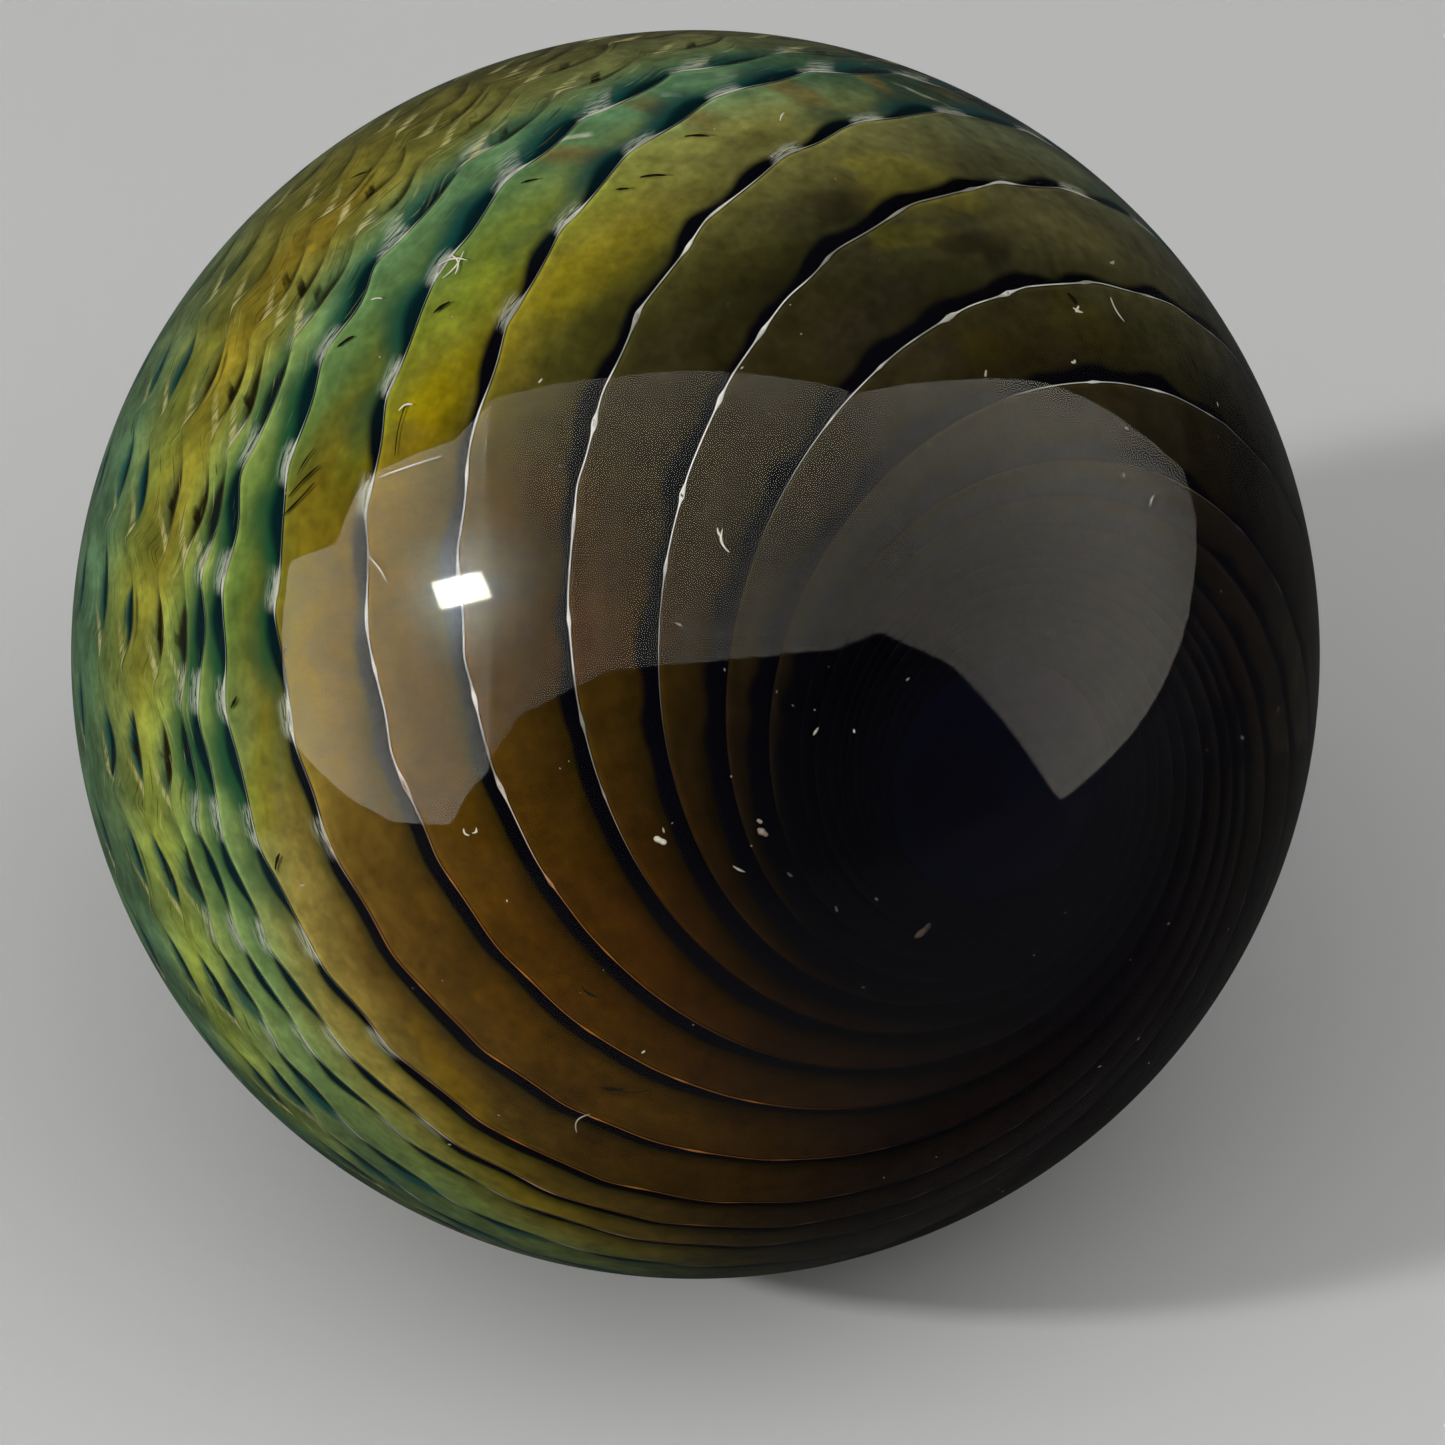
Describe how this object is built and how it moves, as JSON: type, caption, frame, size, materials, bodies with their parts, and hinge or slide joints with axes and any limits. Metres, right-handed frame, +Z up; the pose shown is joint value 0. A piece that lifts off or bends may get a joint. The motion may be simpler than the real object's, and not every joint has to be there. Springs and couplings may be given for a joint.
{
  "type": "glass marble",
  "caption": "Solid round glass marble: a clear ball with a spiral swirl of coloured glass bands inside, turning into a dark eye.",
  "frame": {"origin": "centre of the ball", "axes": "+Z up as the marble lies; -Y is the front, which the eye of the swirl faces; +X to the right of the front view"},
  "size_m": [0.038, 0.038, 0.038],
  "materials": {
    "clear_glass": "clear fire-polished glass over a coloured swirl",
    "swirl_glass": "opaque fumed glass bands, gold, amber, lime and teal, under the clear glass",
    "core_glass": "near-black cobalt blue glass under the bands",
    "silver_line": "fine silvery white line along the edge of each band"
  },
  "bodies": {
    "root": {"marble": "clear_glass"}
  },
  "joints": []
}
